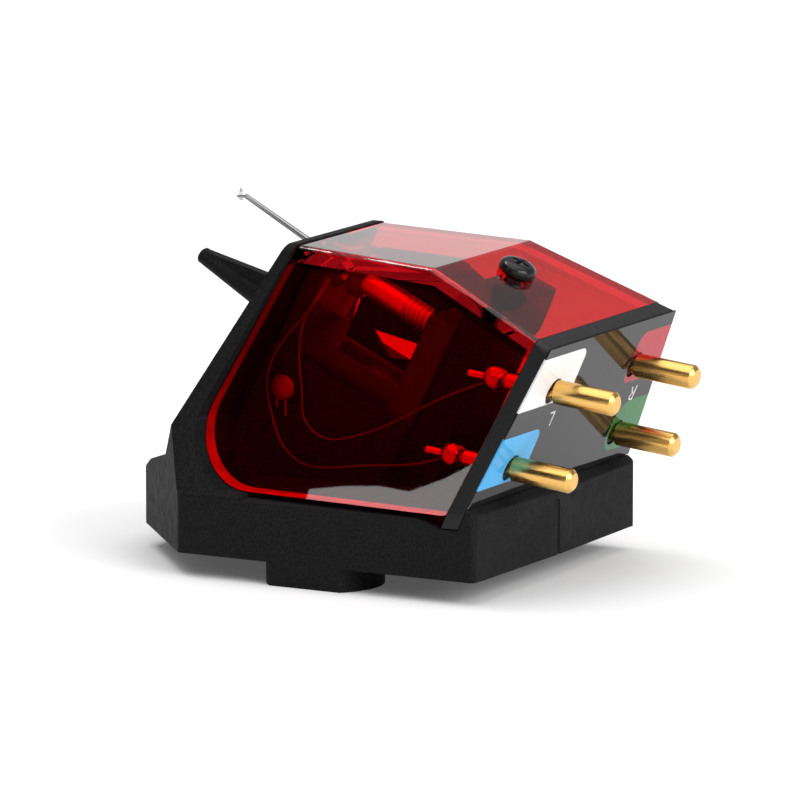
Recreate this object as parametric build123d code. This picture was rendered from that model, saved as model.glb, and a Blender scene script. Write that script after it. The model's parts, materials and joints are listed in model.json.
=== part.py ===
from build123d import *
import os
from math import cos, hypot, radians, sin, tan

# Moving-coil turntable cartridge, standing on its mounting pads with the stylus side up.
# Millimetres. +X runs to the terminal end, +Z towards the record, and the origin lies on the
# mounting face, midway between the two fixing holes.

# Fixing to the headshell
hole_spacing = 12.7
tapped_hole_r = 1.05
tapped_hole_depth = 3.2
pad_r = 2.9
pad_h = 1.15

# Flange of the moulded frame
flange_half_w = 8.5
flange_t = 2.85
rear_crown = 0.15
side_front_x = -7.05
flange_front_x = -12.4
front_half_w = 2.5
plan_corner_r = 0.3
flange_top = pad_h + flange_t

# Sloping front wall, with the hood that runs down to the flange
wall_h = 12.15
wall_top_x = -3.16
wall_lean = 28.9
wall_top_t = 0.5
wall_draft = 2.9
wall_top_half_w = 4.6
wall_corner_r = 0.6
web_setback = 0.25
web_bevel_h = 0.27
hood_edge_run = 0.9
hood_edge_rise = 0.62
hood_slope = 19.5
wall_top = flange_top + wall_h

# Clear cover: two sides and a ridged top
cover_wall = 1.0
cover_gap = 0.08
plinth_h = 0.3
plinth_inset = 0.45
cover_drop = 0.07
cover_corner_r = 2.85
cover_rear_corner_r = 0.3
cover_front_run = 7.84
cover_front_fall = 3.1
cover_rear_fall = 23.5
cover_setback = 0.71
cover_taper = 0.09
cover_side_lean = 0.27
cover_edge_r = 0.35
cover_floor = flange_top + plinth_h

# Terminal plate, its label, and the slot and lip that hold its foot
plate_lean = 24.3
plate_foot_x = 7.75
plate_t = 0.85
plate_corner_r = 0.5
label_t = 0.1
label_inset = 0.06
plate_side_inset = 0.06
slot_gap = 0.04
slot_depth = 0.38
slot_lead_in = 1.4
lip_h = 0.68
lip_t = 0.43
lip_fall = 36.0

# Terminal pins: heights are along the plate from the cover's floor
pin_r = 0.6
pin_out = 3.45
pin_chamfer = 0.18
pin_neck = 0.2
pin_droop = 6.3
pin_inner_r = 0.42
pin_inner = 2.05
pin_tail_r = 0.2
pin_tail = 1.5
upper_pin_h = 6.42
lower_pin_h = 2.36
upper_pin_inset = 4.21
lower_pin_inset = 3.0
upper_pin_y = flange_half_w - upper_pin_inset
lower_pin_y = flange_half_w - lower_pin_inset
solder_r = 0.75
solder_half = 0.7
solder_waist = 0.3
solder_edge = 0.1
solder_sides = 10

# Cover screw
screw_from_ridge = 2.0
screw_head_r = 0.94
screw_head_h = 0.62
screw_head_rim = 0.2
screw_shank_r = 0.5
screw_len = 3.6
screw_clearance = 0.06
recess_w = 0.24
recess_r = 0.55
recess_depth = 0.34

# Generator: distances run along the pole's axis from the pivot (s) and square to it (t)
pivot_back = 1.21
armature_clear = 0.14
pole_tilt = 25.5
former_arm = 0.72
former_arm_w = 0.28
former_t = 0.24
hub_r = 0.28
hub_front = 0.75
hub_rear = 0.42
coil_from_hub = 0.36
coil_len = 0.3
coil_t = 0.13
damper_r = 1.0
damper_gap = 0.05
damper_t = 0.5
pole_r = 0.62
pole_len = 2.65
pole_thread_r = 0.7
pole_thread_len = 4.0
pole_bore_r = 0.14
wire_r = 0.06
wire_len = 2.3
front_pole_t = 0.9
front_pole_gap = 0.4
front_pole_clear = 0.12
front_pole_half_w = 2.0
front_notch_half_w = 1.1
front_notch_depth = 1.15
magnet_top = 3.1
magnet_t = 1.3
magnet_half_w = 2.0
yoke_s = 5.7
yoke_t = 1.5
yoke_top = 1.2
yoke_half_w = 2.4

# Inner block of the frame, under and behind the generator
block_half_w = 3.0
post_half_w = 2.2
post_t = 2.1
arch_x = 2.1
arch_r = 1.4
arch_rise = 1.05
peg_r = 0.75
peg_out = 0.45
peg_s = 0.57
peg_t = 5.73

# Thin web of the frame round the pole, with a window under the pole
carrier_gap = 0.18
carrier_half_t = 0.2
carrier_clear = 0.15
carrier_boss_t = 0.3
carrier_boss_wall = 0.3
strap_h = 1.2
window_rise = 0.75
window_far_h = 0.9
window_near_run = 1.45
window_front = 2.2
window_rear = 5.3
window_t = 1.95

# Cantilever and stylus
cantilever_len = 6.97
cantilever_root_r = 0.18
cantilever_tip_r = 0.12
cantilever_wall = 0.05
cantilever_sides = 16
hole_r = 0.95
collar_r = 1.3
collar_len = 0.4
tip_pad_len = 0.56
tip_pad_overhang = 0.45
tip_pad_drop = 0.06
tip_pad_half_w = 0.16
tip_pad_t = 0.09
tip_pad_corner_r = 0.14
stylus_w = 0.13
stylus_shank = 0.44
stylus_point = 0.22
stylus_below = 0.2
stylus_setback = 0.21
stylus_point_w = 0.016

# Nose ahead of the wall, with the rib along its stylus side
nose_drop = 3.93
nose_len = 5.67
nose_root_r = 0.7
nose_tip_r = 0.41
nose_chamfer = 0.1
rib_half_t = 0.3
rib_drop = 2.18

# Coil leads
lead_r = 0.06
lead_sides = 6
lead_clear = 0.3
lead_arc_share = 0.45

# A length past everything, for cutting blocks
reach = 40.0


def slab(points, half_w):
    """Solid with an outline in X and Z, spread evenly to both sides of the middle."""
    outline = make_face(Polyline(*points, close=True))
    return extrude(Plane.XZ * outline, amount=half_w, both=True)


def rod(start, direction, length, radius, end_radius=None):
    """Round rod or cone from a point along a direction."""
    plane = Plane(origin=start, z_dir=direction)
    base = (Align.CENTER, Align.CENTER, Align.MIN)
    if end_radius is None:
        return plane * Cylinder(radius, length, align=base)
    return plane * Cone(radius, end_radius, length, align=base)


def faceted_taper(start, direction, levels, sides):
    """Thin tapered piece with flat sides, through a radius at each distance from the start."""
    rings = []
    for distance, radius in levels:
        plane = Plane(origin=along(start, direction, distance), z_dir=direction)
        rings.append(plane * RegularPolygon(radius, sides))
    return loft(rings, ruled=True)


def above(z):
    """Everything above a height, as a block to cut with."""
    return Pos(0, 0, z) * Box(reach, reach, 2 * reach, align=(Align.CENTER, Align.CENTER, Align.MIN))


def along(start, direction, distance):
    return tuple(a + d * distance for a, d in zip(start, direction))


# Wall plane, cantilever axis and generator axes
wall_tan = tan(radians(wall_lean))
forward = (-cos(radians(wall_lean)), 0, sin(radians(wall_lean)))
wall_down = (-sin(radians(wall_lean)), 0, -cos(radians(wall_lean)))
backward = tuple(-d for d in forward)
pole_dir = (cos(radians(pole_tilt)), 0, -sin(radians(pole_tilt)))
pole_down = (-sin(radians(pole_tilt)), 0, -cos(radians(pole_tilt)))
cover_front_z = wall_top - cover_drop
cover_under_z = cover_front_z - cover_wall / cos(radians(cover_front_fall))
pivot = (wall_top_x + pivot_back, 0, cover_under_z - former_arm - armature_clear)


def wall_front_x(z):
    return wall_top_x - (wall_top - z) * wall_tan


def gen(s, t, y=0.0):
    """Point of the generator: s along the pole, t below it."""
    return (
        pivot[0] + s * pole_dir[0] + t * pole_down[0],
        y,
        pivot[2] + s * pole_dir[2] + t * pole_down[2],
    )


def gen_xz(s, t):
    point = gen(s, t)
    return (point[0], point[2])


# Where the cantilever's axis leaves the front face of the wall
exit_run = (pivot[0] - wall_front_x(pivot[2])) * cos(radians(wall_lean))
exit_point = along(pivot, forward, exit_run)
damper_front = hub_rear + damper_gap
pole_front = damper_front + damper_t
pole_end = pole_front + pole_len + pole_thread_len
seat_t = magnet_top + magnet_t


# Side outline of the cover, from the front of its top edge round to its foot
cover_front_x = wall_top_x + wall_top_t + cover_gap
cover_front_tan = tan(radians(wall_lean - wall_draft))
cover_half_w = flange_half_w - cover_setback
ridge_x = cover_front_x + cover_front_run
ridge_z = cover_front_z - cover_front_run * tan(radians(cover_front_fall))
plate_tan = tan(radians(plate_lean))
rear_tan = tan(radians(cover_rear_fall))
rear_normal = (sin(radians(cover_rear_fall)), 0, cos(radians(cover_rear_fall)))
plate_up = (sin(radians(plate_lean)), 0, cos(radians(plate_lean)))


def plate_x(z, depth=0.0):
    """X of the plate at a height, for a plane that lies depth behind the plate's front face."""
    return plate_foot_x + (z - cover_floor) * plate_tan + depth / cos(radians(plate_lean))


def rear_top(drop, depth=0.0):
    """Where the rear slope of the top, lowered by drop, meets a plane of the plate."""
    ridge_low = ridge_z - drop / cos(radians(cover_rear_fall))
    start = plate_x(ridge_low, depth)
    z = ridge_low - (start - ridge_x) * rear_tan / (1 + rear_tan * plate_tan)
    return (plate_x(z, depth), z)


lip_top = flange_top + lip_h
lip_crest_x = plate_x(lip_top, plate_t + slot_gap)
flange_rear_x = lip_crest_x + lip_t


def cover_foot_x(floor):
    """Where the cover's leaning front edge would meet a floor."""
    return cover_front_x - (cover_front_z - floor) * cover_front_tan


def cover_outline(grow, corner_r):
    """Outline of the cover's sides, grown outwards at the front and at the foot."""
    shift = grow / cos(radians(wall_lean - wall_draft))
    floor = cover_floor - grow
    foot_x = cover_foot_x(floor) - shift
    end_x, end_z = rear_top(0)
    face = make_face(
        Polyline(
            (cover_front_x - shift, cover_front_z),
            (ridge_x, ridge_z),
            (end_x, end_z),
            (plate_x(floor), floor),
            (foot_x, floor),
            close=True,
        )
    )
    foot = face.vertices().sort_by_distance(Vector(foot_x, floor, 0))[0]
    face = fillet(foot, corner_r)
    heel = face.vertices().sort_by_distance(Vector(plate_x(floor), floor, 0))[0]
    return fillet(heel, cover_rear_corner_r)


def cover_half(x, z, inset=0.0):
    """Half width inside the cover's leaning and tapering side planes, less an inset square to them."""
    slant = hypot(1, cover_taper, cover_side_lean)
    return cover_half_w + cover_taper * x - cover_side_lean * (z - cover_floor) - inset * slant


def between_sides(inset):
    """Block that fills the space between the cover's side planes."""
    levels = []
    for z in (pad_h, wall_top + cover_wall):
        x0, x1 = flange_front_x, flange_rear_x + pin_out
        half0, half1 = cover_half(x0, z, inset), cover_half(x1, z, inset)
        corners = [(x0, -half0, z), (x1, -half1, z), (x1, half1, z), (x0, half0, z)]
        levels.append(make_face(Polyline(*corners, close=True)))
    return loft(levels, ruled=True)


# Moulded frame
def plan_prism():
    face = make_face(
        Polyline(
            (flange_front_x, -front_half_w),
            (side_front_x, -flange_half_w),
            (flange_rear_x, -flange_half_w),
            (flange_rear_x + rear_crown, 0),
            (flange_rear_x, flange_half_w),
            (side_front_x, flange_half_w),
            (flange_front_x, front_half_w),
            close=True,
        )
    )
    corners = [v for v in face.vertices() if abs(v.Y) > front_half_w / 2]
    return extrude(fillet(corners, plan_corner_r), amount=wall_top + collar_r)


def flange():
    """Flange with the slot for the plate's foot and the lip behind it."""
    slot_z = flange_top - slot_depth
    end_x = flange_rear_x + 2 * rear_crown
    outline = [
        (flange_front_x, pad_h),
        (end_x, pad_h),
        (end_x, lip_top - (end_x - lip_crest_x) * tan(radians(lip_fall))),
        (lip_crest_x, lip_top),
        (plate_x(slot_z, plate_t + slot_gap), slot_z),
        (plate_x(slot_z, -slot_gap), slot_z),
        (plinth_rear_x(), flange_top),
        (flange_front_x, flange_top),
    ]
    return slab(outline, flange_half_w)


def front_view():
    """Prism of the frame's outline from the front: leaning sides above the flange."""
    web_half = flange_half_w - web_setback
    right = [
        (flange_half_w, 0),
        (flange_half_w, flange_top),
        (web_half, flange_top + web_bevel_h),
        (wall_top_half_w, wall_top),
    ]
    left = [(-y, z) for y, z in reversed(right)]
    face = make_face(Polyline(*(right + left), close=True))
    tops = [v for v in face.vertices() if v.Y > wall_top - wall_corner_r]
    face = fillet(tops, wall_corner_r)
    return extrude(Plane.YZ * face, amount=reach, both=True)


def plinth_rear_x():
    return plate_x(flange_top, -slot_gap) - slot_lead_in


def front_wall():
    """Sloping wall with the hood; its foot ends where the cover's round corner meets the floor."""
    edge = (flange_front_x + hood_edge_run, flange_top + hood_edge_rise)
    hood_tan = tan(radians(hood_slope))
    rise = (wall_front_x(edge[1]) - edge[0]) * hood_tan / (1 - hood_tan * wall_tan)
    meet = (wall_front_x(edge[1] + rise), edge[1] + rise)
    corner_turn = radians(90 + wall_lean - wall_draft)
    corner_end_x = cover_foot_x(cover_floor) + cover_corner_r * tan(corner_turn / 2)
    outline = [
        (flange_front_x, flange_top),
        edge,
        meet,
        (wall_top_x, wall_top),
        (wall_top_x + wall_top_t, wall_top),
        (corner_end_x, flange_top),
    ]
    around_cover = cover_outline(cover_gap, cover_corner_r + cover_gap)
    return slab(outline, flange_half_w) - extrude(Plane.XZ * around_cover, amount=reach, both=True)


def nose():
    root = along(exit_point, wall_down, nose_drop)
    inside = wall_top_t / 2
    start = along(root, backward, inside)
    length = nose_len + inside
    cone = rod(start, forward, length, nose_root_r, nose_tip_r)
    tip = along(root, forward, nose_len)
    cone = chamfer(cone.edges().sort_by_distance(tip)[0], nose_chamfer)
    rib_root = along(along(exit_point, wall_down, rib_drop), backward, inside)
    rib_tip = along(along(tip, wall_down, nose_chamfer - nose_tip_r), backward, nose_chamfer)
    low_tip = along(tip, backward, nose_chamfer)
    rib = slab([(p[0], p[2]) for p in (start, rib_root, rib_tip, low_tip)], rib_half_t)
    return cone + rib


def inner_block():
    """Sloping seat for the magnet, with the post behind it that takes the cover screw."""
    post_s = yoke_s + yoke_t
    top_z = ridge_z - cover_wall / cos(radians(cover_rear_fall))
    lean = tan(radians(pole_tilt))

    def post_top(s):
        x, z = gen_xz(s, 0)
        rise = (top_z - z - (x - ridge_x) * rear_tan) / (1 + lean * rear_tan)
        return (x + rise * lean, z + rise)

    def foot(s):
        x, z = gen_xz(s, 0)
        return (x - (z - flange_top) * lean, flange_top)

    front_s = -front_pole_gap - front_pole_t
    seat_front = gen_xz(front_s, seat_t)
    wall_in = wall_front_x(seat_front[1]) + wall_top_t / 2
    seat = slab(
        [
            (wall_in, seat_front[1]),
            seat_front,
            gen_xz(post_s, seat_t),
            foot(post_s),
            (wall_front_x(flange_top), flange_top),
        ],
        block_half_w,
    )
    back_s = post_s + post_t
    post = slab([foot(post_s), post_top(post_s), post_top(back_s), foot(back_s)], post_half_w)
    arch_z = flange_top + arch_rise - arch_r
    arch = rod((arch_x, -reach, arch_z), (0, 1, 0), 2 * reach, arch_r)
    peg_end = block_half_w + peg_out
    pegs = rod(gen(peg_s, peg_t, -peg_end), (0, 1, 0), 2 * peg_end, peg_r)
    return seat + post + pegs - (arch & above(flange_top))


def under_cover(x):
    """Height of the underside of the cover's front top plane, less the web's clearance."""
    return cover_under_z - (x - cover_front_x) * tan(radians(cover_front_fall)) - carrier_clear


def pole_carrier():
    """Thin web round the pole, held by the post over the yoke, with a window above the magnet."""
    front_s = pole_front + carrier_gap
    rear_s = yoke_s - carrier_clear
    post_s = yoke_s + yoke_t + carrier_half_t
    low_t = magnet_top - carrier_clear
    strap_t = -yoke_top - carrier_clear
    x, z = gen_xz(front_s, 0)
    lean, fall = radians(pole_tilt), tan(radians(cover_front_fall))
    rise = (under_cover(x) - z) / (cos(lean) + sin(lean) * fall)
    shoulder_x = ridge_x - cover_wall
    outline = [
        gen_xz(front_s, low_t),
        gen_xz(rear_s, low_t),
        gen_xz(rear_s, strap_t),
        gen_xz(post_s, strap_t),
        gen_xz(post_s, strap_t - strap_h),
        (shoulder_x, under_cover(shoulder_x)),
        gen_xz(front_s, -rise),
    ]
    window = [
        gen_xz(window_front, window_t),
        gen_xz(window_rear, window_t - window_rise),
        gen_xz(window_rear, window_t - window_rise + window_far_h),
        gen_xz(window_front + window_near_run, low_t - carrier_clear),
    ]
    boss_half = pole_thread_r + carrier_boss_wall
    boss = gen_block(rear_s - carrier_boss_t, rear_s, -boss_half, boss_half, boss_half)
    web = slab(outline, carrier_half_t) - slab(window, carrier_half_t) + boss
    return web - rod(gen(0, 0), pole_dir, pole_end, pole_thread_r + screw_clearance)


def plinth():
    """Low step that the foot of the cover stands on."""
    front_x = cover_foot_x(cover_floor)
    rear_x = plinth_rear_x()
    outline = [(front_x, flange_top), (rear_x, flange_top), (rear_x, cover_floor), (front_x, cover_floor)]
    return slab(outline, flange_half_w) & between_sides(plinth_inset)


def body_frame():
    wall = front_wall() & front_view()
    frame = (flange() + wall) & plan_prism()
    frame += plinth()
    frame += inner_block() + pole_carrier()
    frame += rod(exit_point, backward, collar_len, collar_r) - above(wall_top)
    frame += nose()
    for side in (-1, 1):
        pad = Pos(0, side * hole_spacing / 2, 0) * Cylinder(
            pad_r, pad_h, align=(Align.CENTER, Align.CENTER, Align.MIN)
        )
        pad &= Box(reach, 2 * flange_half_w, reach)
        frame += pad
        frame -= rod((0, side * hole_spacing / 2, 0), (0, 0, 1), tapped_hole_depth, tapped_hole_r)
    frame -= rod(along(exit_point, forward, collar_len), backward, collar_len + exit_run, hole_r)
    tail_room = pole_end - yoke_s + screw_clearance
    frame -= rod(gen(yoke_s, 0), pole_dir, tail_room, pole_thread_r + screw_clearance)
    frame -= rod(screw_seat, screw_dir, screw_len, screw_shank_r)
    return frame


# Cover and its screw
screw_dir = tuple(-n for n in rear_normal)
screw_seat = (
    ridge_x + screw_from_ridge * cos(radians(cover_rear_fall)),
    0,
    ridge_z - screw_from_ridge * sin(radians(cover_rear_fall)),
)


def cover():
    outer = extrude(Plane.XZ * cover_outline(0, cover_corner_r), amount=reach, both=True) & between_sides(0)
    long_edges = [
        e
        for e in outer.edges()
        if e.center().Z > cover_floor + cover_wall
        and abs(e.center().Y) > cover_wall
        and e.center().X > cover_front_x
        and e.center().X < plate_x(e.center().Z) - cover_wall
    ]
    outer = fillet(long_edges, cover_edge_r)
    drop = cover_wall / cos(radians(cover_front_fall))
    rear_drop = cover_wall / cos(radians(cover_rear_fall))
    start_x, end_x = cover_front_x - reach, plate_foot_x + reach
    front_tan = tan(radians(cover_front_fall))
    bend = (rear_drop - drop) / (rear_tan - front_tan)
    inside = slab(
        [
            (start_x, cover_front_z - drop + (cover_front_x - start_x) * front_tan),
            (ridge_x - bend, ridge_z - drop + bend * front_tan),
            (end_x, ridge_z - rear_drop - (end_x - ridge_x) * rear_tan),
            (end_x, -reach),
            (start_x, -reach),
        ],
        reach,
    )
    inside &= between_sides(cover_wall)
    return outer - inside - rod(screw_seat, screw_dir, 2 * cover_wall, screw_shank_r + screw_clearance)


def cover_screw():
    head = rod(screw_seat, rear_normal, screw_head_h, screw_head_r)
    top = along(screw_seat, rear_normal, screw_head_h)
    head = chamfer(head.edges().sort_by_distance(top)[0], screw_head_h - screw_head_rim)
    shank = rod(screw_seat, screw_dir, screw_len, screw_shank_r)
    recess_plane = Plane(origin=top, x_dir=(0, 1, 0), z_dir=screw_dir)
    recess = Box(2 * recess_r, recess_w, 2 * recess_depth) + Box(recess_w, 2 * recess_r, 2 * recess_depth)
    return head + shank - recess_plane * recess


# Terminal plate, label, pins and solder
def plate_slab(depth, thickness, low_z, top_drop):
    """Sheet parallel to the plate, between a height and the cover's rear slope."""
    rear = depth + thickness
    outline = [
        (plate_x(low_z, depth), low_z),
        (plate_x(low_z, rear), low_z),
        rear_top(top_drop, rear),
        rear_top(top_drop, depth),
    ]
    return slab(outline, flange_half_w - plate_side_inset)


def pin_point(height, y):
    """Where a pin's axis crosses the front face of the plate."""
    return (plate_foot_x + height * plate_up[0], y, cover_floor + height * plate_up[2])


pin_dir = (cos(radians(pin_droop)), 0, -sin(radians(pin_droop)))
pin_inward = tuple(-d for d in pin_dir)
face_run = (plate_t + label_t) / cos(radians(plate_lean - pin_droop))
pins = {
    "left_signal": (upper_pin_h, -upper_pin_y),
    "left_ground": (lower_pin_h, -lower_pin_y),
    "right_signal": (upper_pin_h, upper_pin_y),
    "right_ground": (lower_pin_h, lower_pin_y),
}


def pin_core(height, y):
    """Thin core of a pin, from its solder through the plate to its free end."""
    inner = pin_inner - solder_half
    start = along(pin_point(height, y), pin_inward, inner)
    return rod(start, pin_dir, inner + face_run + pin_neck, pin_inner_r)


def terminal_plate():
    plate = plate_slab(0, plate_t, flange_top - slot_depth + slot_gap, 0) & between_sides(0)
    top_z = rear_top(0, plate_t)[1]
    corners = [e for e in plate.edges() if abs(e.center().Y) > upper_pin_y and e.center().Z > top_z]
    plate = fillet([e for e in corners if e.length < 2 * plate_t], plate_corner_r)
    for height, y in pins.values():
        plate -= pin_core(height, y)
    return plate


def terminal_label():
    label = plate_slab(plate_t, label_t, lip_top + label_inset, label_inset)
    label &= between_sides(label_inset)
    for height, y in pins.values():
        label -= rod(pin_point(height, y), pin_dir, face_run + pin_out, pin_r + label_inset)
    return label


def terminal_pin(height, y):
    """Thick free end, thin core that carries it through the plate, and a tail for the solder."""
    base = pin_point(height, y)
    neck_end = along(base, pin_dir, face_run + pin_neck)
    free_end = rod(neck_end, pin_dir, pin_out - pin_neck, pin_r)
    tip = along(base, pin_dir, face_run + pin_out)
    free_end = chamfer(free_end.edges().sort_by_distance(tip)[0], pin_chamfer)
    tail_end = along(base, pin_inward, pin_inner + pin_tail)
    tail = rod(tail_end, pin_dir, pin_tail + solder_half, pin_tail_r)
    return free_end + pin_core(height, y) + tail


def solder_point(height, y):
    return along(pin_point(height, y), pin_inward, pin_inner)


def solder_joint(name):
    """Bead of solder round a pin's tail, against the end of its core."""
    middle = solder_point(*pins[name])
    levels = [
        (-solder_half, pin_tail_r + solder_edge),
        (-solder_waist, solder_r),
        (solder_waist, solder_r),
        (solder_half, pin_inner_r + solder_edge),
    ]
    bead = faceted_taper(middle, pin_dir, levels, solder_sides)
    return bead - rod(along(middle, pin_inward, solder_half), pin_dir, 2 * solder_half, pin_tail_r)


# Coil leads: points on the right-hand side, from the front pole past the peg to the solder.
# The middle number of a point is its distance out from the side of the inner block.
lead_starts = {"signal": 0.35, "ground": 0.9}
lead_routes = {
    "signal": [
        (-2.55, -0.7, 13.3),
        (-3.1, -0.05, 12.0),
        (-3.15, 0.2, 10.2),
        (-2.9, 0.25, 8.6),
        (-2.9, 0.3, 7.2),
        (-1.6, 0.4, 6.3),
        (0.4, 0.5, 6.75),
        (2.4, 0.65, 7.6),
        (4.3, 0.9, 8.65),
        (6.3, 1.15, 9.6),
    ],
    "ground": [
        (-2.95, -0.3, 12.4),
        (-3.9, -0.05, 11.4),
        (-4.75, 0.2, 10.0),
        (-4.95, 0.25, 8.6),
        (-4.5, 0.35, 7.1),
        (-3.9, 0.6, 5.9),
        (-2.5, 0.9, 5.05),
        (-0.6, 1.15, 5.2),
        (1.4, 1.4, 5.55),
        (3.3, 1.8, 5.75),
        (5.0, 2.2, 6.1),
    ],
}


def coil_lead(name):
    """Fine wire on straight runs and tangent arcs, six-sided to keep it light."""
    channel, line = name.split("_")
    side = 1 if channel == "right" else -1
    start = gen(lead_r - front_pole_gap, lead_starts[line], side * (front_notch_half_w + lead_clear))
    route = [(x, side * (block_half_w + out), z) for x, out, z in lead_routes[line]]
    points = [Vector(*p) for p in [start, *route, solder_point(*pins[name])]]
    radii = []
    for a, b, c in zip(points, points[1:], points[2:]):
        turn = (b - a).get_angle(c - b)
        radii.append(lead_arc_share * min((b - a).length, (c - b).length) / tan(radians(turn / 2)))
    path = FilletPolyline(*points, radius=radii)
    section = Plane(origin=points[0], z_dir=points[1] - points[0]) * RegularPolygon(lead_r, lead_sides)
    return sweep(section, path=path) - solder_joint(name) - terminal_pin(*pins[name])


# Generator
def gen_block(s0, s1, t0, t1, half_w):
    corners = [gen_xz(s0, t0), gen_xz(s1, t0), gen_xz(s1, t1), gen_xz(s0, t1)]
    return slab(corners, half_w)


def front_pole():
    front, rear = -front_pole_gap - front_pole_t, -front_pole_gap
    notch_t = front_notch_depth - front_notch_half_w
    notch = rod(gen(front, notch_t), pole_dir, front_pole_t, front_notch_half_w)
    notch += gen_block(front, rear, -seat_t, notch_t, front_notch_half_w)
    plate = gen_block(front, rear, -seat_t, seat_t, front_pole_half_w) - notch
    return plate - above(cover_under_z - front_pole_clear)


def magnet():
    return gen_block(-front_pole_gap, yoke_s, magnet_top, seat_t, magnet_half_w)


def rear_yoke():
    yoke = gen_block(yoke_s, yoke_s + yoke_t, -yoke_top, seat_t, yoke_half_w)
    return yoke - rod(gen(yoke_s, 0), pole_dir, yoke_t, pole_thread_r)


def pole_screw():
    pole = rod(gen(pole_front, 0), pole_dir, pole_len, pole_r)
    pole += rod(gen(pole_front + pole_len, 0), pole_dir, pole_thread_len, pole_thread_r)
    return pole - rod(gen(pole_front, 0), pole_dir, wire_len, pole_bore_r)


def damper():
    ring = rod(gen(damper_front, 0), pole_dir, damper_t, damper_r)
    return ring - rod(gen(damper_front, 0), pole_dir, damper_t, wire_r)


def suspension_wire():
    return rod(gen(damper_front, 0), pole_dir, wire_len, wire_r)


# Armature, turned square to the cantilever
armature_plane = Plane(origin=pivot, x_dir=(0, 1, 0), z_dir=forward)
diagonals = {"left": 45, "right": -45}


def cantilever_taper():
    levels = [(0, cantilever_root_r), (cantilever_len, cantilever_tip_r)]
    return faceted_taper(pivot, forward, levels, cantilever_sides)


def coil_former():
    cross = Box(2 * former_arm, former_arm_w, former_t)
    arms = [Rot(0, 0, angle) * cross for angle in diagonals.values()]
    hub = Pos(0, 0, -hub_rear) * Cylinder(
        hub_r, hub_rear + hub_front, align=(Align.CENTER, Align.CENTER, Align.MIN)
    )
    return armature_plane * (arms[0] + arms[1] + hub) - cantilever_taper()


def coil(side):
    outer_w = former_arm_w + 2 * coil_t
    outer_t = former_t + 2 * coil_t
    ring = Box(coil_len, outer_w, outer_t) - Box(coil_len, former_arm_w, former_t)
    far = coil_from_hub + coil_len / 2
    pair = [Rot(0, 0, diagonals[side]) * Pos(offset, 0, 0) * ring for offset in (-far, far)]
    return armature_plane * Compound(children=pair)


def cantilever():
    """Tapered tube with a flat pad at its end, which the stylus passes through."""
    tube = cantilever_taper()
    tube -= rod(pivot, forward, cantilever_len - tip_pad_len, cantilever_tip_r - cantilever_wall)
    pad = Box(tip_pad_len, 2 * tip_pad_half_w, tip_pad_t, align=(Align.MIN, Align.CENTER, Align.CENTER))
    pad = fillet(pad.edges().filter_by(Axis.Z).sort_by(Axis.X)[:2], tip_pad_corner_r)
    return tube + Pos(tip_x, 0, tip_pad_z) * pad - stylus_hole()


tube_end = along(pivot, forward, cantilever_len)
tip_x = tube_end[0] - tip_pad_overhang
tip_pad_z = tube_end[2] - tip_pad_drop
stylus_foot = (tip_x + stylus_setback, 0, tip_pad_z - stylus_below)


def stylus_hole():
    return Pos(*stylus_foot) * Box(
        stylus_w, stylus_w, stylus_shank, align=(Align.CENTER, Align.CENTER, Align.MIN)
    )


def stylus():
    square = Rectangle(stylus_w, stylus_w)
    point = Rectangle(stylus_point_w, stylus_point_w)
    tip = loft([square, Pos(0, 0, stylus_point) * point])
    return stylus_hole() + Pos(stylus_foot[0], 0, stylus_foot[2] + stylus_shank) * tip


def write(node, shape):
    export_step(shape, os.path.join("parts", node + ".step"))


os.makedirs("parts", exist_ok=True)
write("body_frame", body_frame())
write("cover", cover())
write("cover_screw", cover_screw())
write("terminal_plate", terminal_plate())
write("terminal_label", terminal_label())
for pin_name, (pin_height, pin_y) in pins.items():
    write("pin_" + pin_name, terminal_pin(pin_height, pin_y))
    write("solder_" + pin_name, solder_joint(pin_name))
    write("lead_" + pin_name, coil_lead(pin_name))
write("front_pole", front_pole())
write("magnet", magnet())
write("rear_yoke", rear_yoke())
write("pole_screw", pole_screw())
write("damper", damper())
write("suspension_wire", suspension_wire())
write("coil_former", coil_former())
for channel in diagonals:
    write("coil_" + channel, coil(channel))
write("cantilever", cantilever())
write("stylus", stylus())
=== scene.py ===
import json
import math
import bpy
from mathutils import Matrix, Vector


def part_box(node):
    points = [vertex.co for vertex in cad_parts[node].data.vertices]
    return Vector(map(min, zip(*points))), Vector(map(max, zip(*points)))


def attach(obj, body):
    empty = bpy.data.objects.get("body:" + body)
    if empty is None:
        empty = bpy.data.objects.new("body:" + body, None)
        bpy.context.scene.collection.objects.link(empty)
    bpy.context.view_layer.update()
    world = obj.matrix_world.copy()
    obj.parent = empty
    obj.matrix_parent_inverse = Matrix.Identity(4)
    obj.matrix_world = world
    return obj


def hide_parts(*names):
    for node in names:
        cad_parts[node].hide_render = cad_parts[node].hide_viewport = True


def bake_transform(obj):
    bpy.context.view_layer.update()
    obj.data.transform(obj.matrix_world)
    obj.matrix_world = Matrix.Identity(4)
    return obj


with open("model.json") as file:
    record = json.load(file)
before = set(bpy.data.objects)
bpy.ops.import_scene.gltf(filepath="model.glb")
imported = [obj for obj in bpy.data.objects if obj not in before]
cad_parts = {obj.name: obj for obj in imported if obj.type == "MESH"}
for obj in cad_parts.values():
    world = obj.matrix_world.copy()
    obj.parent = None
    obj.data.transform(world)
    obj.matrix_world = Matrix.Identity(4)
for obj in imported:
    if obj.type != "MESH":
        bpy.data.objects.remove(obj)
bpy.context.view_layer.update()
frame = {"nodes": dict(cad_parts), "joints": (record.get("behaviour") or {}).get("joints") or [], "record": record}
mm = 0.001
print("frame loaded:", len(frame["nodes"]), "nodes")

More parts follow.
